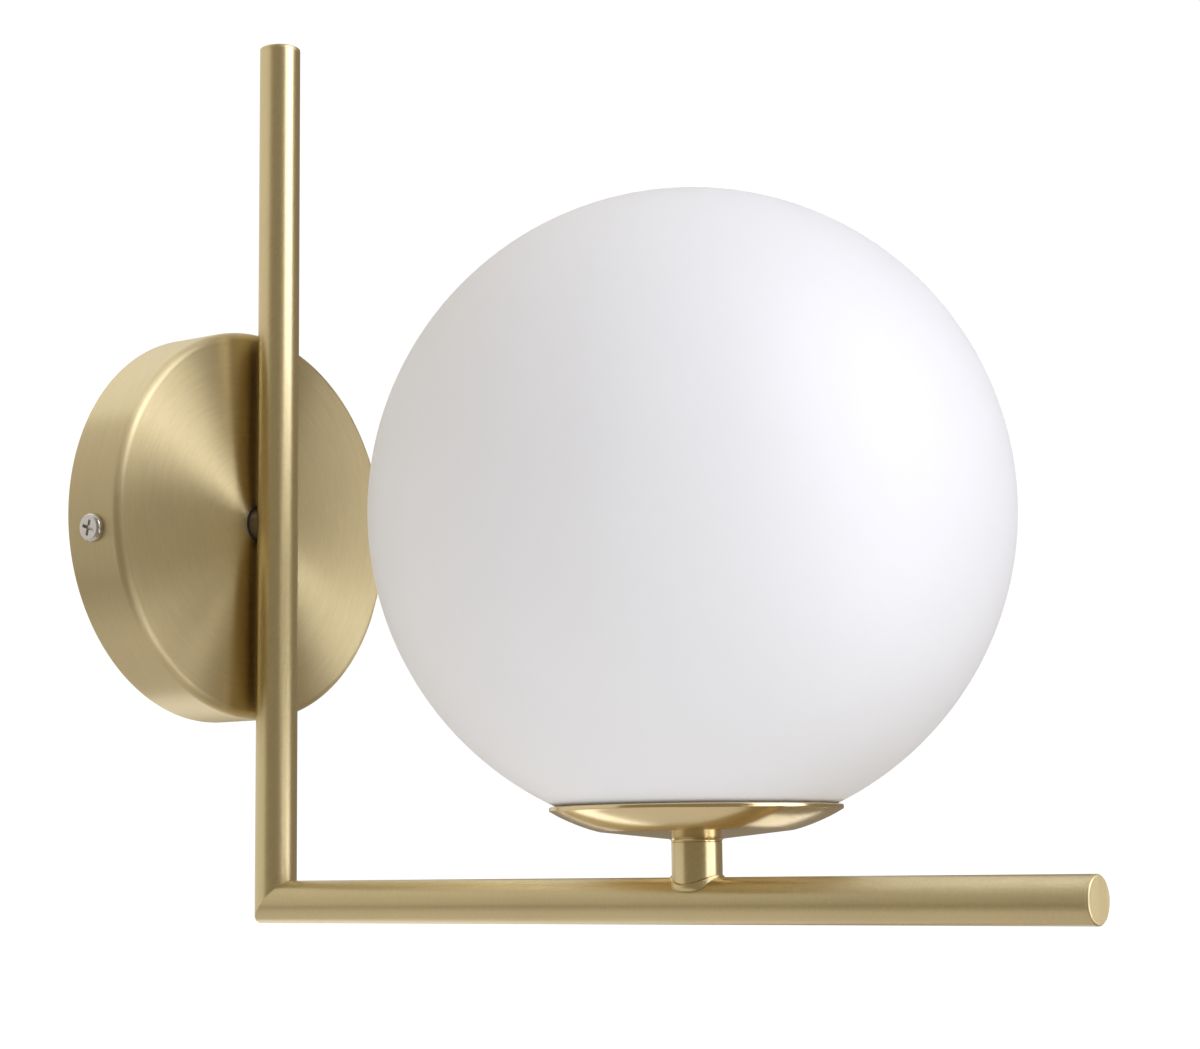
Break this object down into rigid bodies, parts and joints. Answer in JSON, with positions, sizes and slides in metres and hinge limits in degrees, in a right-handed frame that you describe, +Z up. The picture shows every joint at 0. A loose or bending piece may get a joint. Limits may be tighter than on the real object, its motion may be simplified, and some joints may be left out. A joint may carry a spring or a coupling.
{
  "type": "wall sconce",
  "caption": "Wall sconce: opal glass globe in a shallow brass dish on the horizontal arm of an L-shaped brass tube frame, held to a round wall canopy.",
  "frame": {"origin": "in the wall plane on the axis of the round canopy, in the middle of the wall bracket's back face", "axes": "+Z up, +Y into the wall, so the lamp stands out towards -Y; +X is to the right for someone who faces the wall"},
  "size_m": [0.2, 0.3359, 0.3095],
  "materials": {
    "brushed_brass": "brass, brushed to a satin grain along the tubes and round the canopy, lacquered",
    "polished_brass": "polished brass, lacquered",
    "opal_glass": "blown opal white glass, satin etched outside",
    "clear_glass": "clear glass capsule",
    "white_ceramic": "white glazed ceramic",
    "phosphor": "yellow phosphor coating on the light source",
    "zinc_steel": "zinc-plated pressed steel",
    "bare_steel": "turned steel boss, dark bronze wash",
    "nickel": "nickel-plated screw",
    "brass_screw": "brass screw",
    "contact_brass": "bare brass",
    "spring_steel": "blued spring steel",
    "silicone": "translucent white silicone rubber",
    "black_fibre": "black fibre and nylon",
    "terminal_plastic": "natural white polyamide",
    "brown_insulation": "brown heat-resistant wire insulation",
    "blue_insulation": "blue heat-resistant wire insulation",
    "green_yellow_insulation": "green and yellow heat-resistant wire insulation"
  },
  "bodies": {
    "fixture": {"wall_bracket": "zinc_steel", "earth_screw": "brass_screw", "earth_washer": "zinc_steel", "earth_ring": "contact_brass", "terminal_block": "terminal_plastic", "terminal_clamps": "contact_brass", "terminal_screws": "zinc_steel", "block_screw": "zinc_steel", "canopy_cover": "brushed_brass", "side_screws": "nickel", "boss_washer": "black_fibre", "mount_boss": "bare_steel", "mount_nipple": "zinc_steel", "mount_washer": "zinc_steel", "mount_nut": "zinc_steel", "nipple_bush": "black_fibre", "upright_tube": "brushed_brass", "upright_cap": "brushed_brass", "arm_tube": "brushed_brass", "arm_cap": "brushed_brass", "stem_collar": "brushed_brass", "stem_post": "brushed_brass", "dish": "polished_brass", "dish_nipple": "zinc_steel", "dish_washer": "zinc_steel", "dish_nut": "zinc_steel", "clip_plate": "zinc_steel", "globe_clips": "spring_steel", "clip_rivets": "contact_brass", "globe_gasket": "silicone", "holder_strap": "zinc_steel", "lampholder": "white_ceramic", "holder_contacts": "contact_brass", "holder_screws": "zinc_steel", "earth_tag": "contact_brass", "live_wire": "brown_insulation", "neutral_wire": "blue_insulation", "earth_wire": "green_yellow_insulation"},
    "globe": {"glass_globe": "opal_glass"},
    "bulb": {"bulb_base": "white_ceramic", "bulb_glass": "clear_glass", "bulb_emitter": "phosphor", "bulb_pins": "zinc_steel"}
  },
  "joints": [
    {"name": "globe_lift", "type": "slide", "parent": "fixture", "child": "globe", "axis": [0, 0, 1], "range_m": [0, 0.1]},
    {"name": "bulb_pull", "type": "slide", "parent": "fixture", "child": "bulb", "axis": [0, 0, 1], "range_m": [0, 0.022]}
  ]
}
